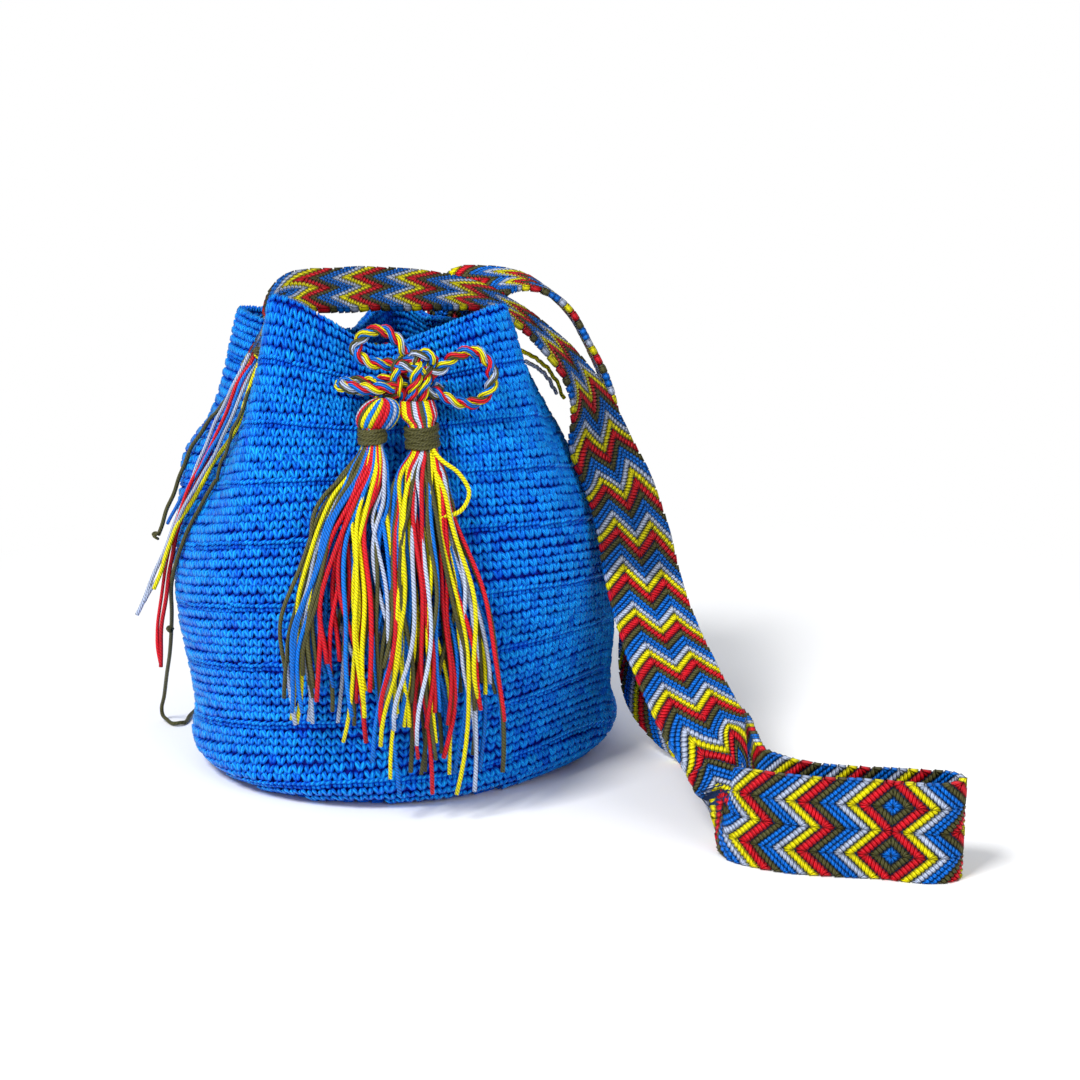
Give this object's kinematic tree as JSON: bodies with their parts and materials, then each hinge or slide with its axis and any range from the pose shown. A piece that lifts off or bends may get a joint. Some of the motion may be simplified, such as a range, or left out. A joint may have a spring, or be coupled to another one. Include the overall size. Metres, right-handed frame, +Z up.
{
  "type": "crochet drawstring bucket bag",
  "caption": "Crocheted drawstring bucket bag with a gathered mouth, a tied bow cord ending in tassels, loose yarn ends and a woven shoulder strap lying beside it.",
  "frame": {"origin": "centre of the flat round base, on the surface that the bag stands on", "axes": "+Z up, -Y towards the front with the bow, +X towards the side where the strap lies"},
  "size_m": [0.4041, 0.3183, 0.2533],
  "materials": {
    "crochet_blue": "matte crocheted yarn",
    "strap_weave": "knotted weave in blue, olive, red, yellow and pale zigzags",
    "cord_yarn": "twisted cord of yellow, red, blue, olive and pale yarn",
    "tassel_yarn": "loose strands of yellow, red, blue, olive and pale yarn",
    "olive_yarn": "plied yarn",
    "pale_yarn": "plied yarn",
    "red_yarn": "plied yarn",
    "yellow_yarn": "plied yarn"
  },
  "bodies": {
    "root": {"bag_body": "crochet_blue", "shoulder_strap": "strap_weave", "drawstring": "cord_yarn", "bow_knot": "cord_yarn", "bow_loop_left_upper": "cord_yarn", "bow_loop_left_lower": "cord_yarn", "bow_loop_right": "cord_yarn", "tassel_left": "tassel_yarn", "tassel_left_binding": "olive_yarn", "tassel_right": "tassel_yarn", "tassel_right_binding": "olive_yarn", "yarn_knot_left": "olive_yarn", "yarn_tail_left_1": "pale_yarn", "yarn_tail_left_2": "olive_yarn", "yarn_tail_left_3": "red_yarn", "yarn_tail_left_4": "yellow_yarn", "yarn_tail_left_5": "olive_yarn", "yarn_tail_right_1": "yellow_yarn", "yarn_tail_right_2": "pale_yarn"}
  },
  "joints": []
}
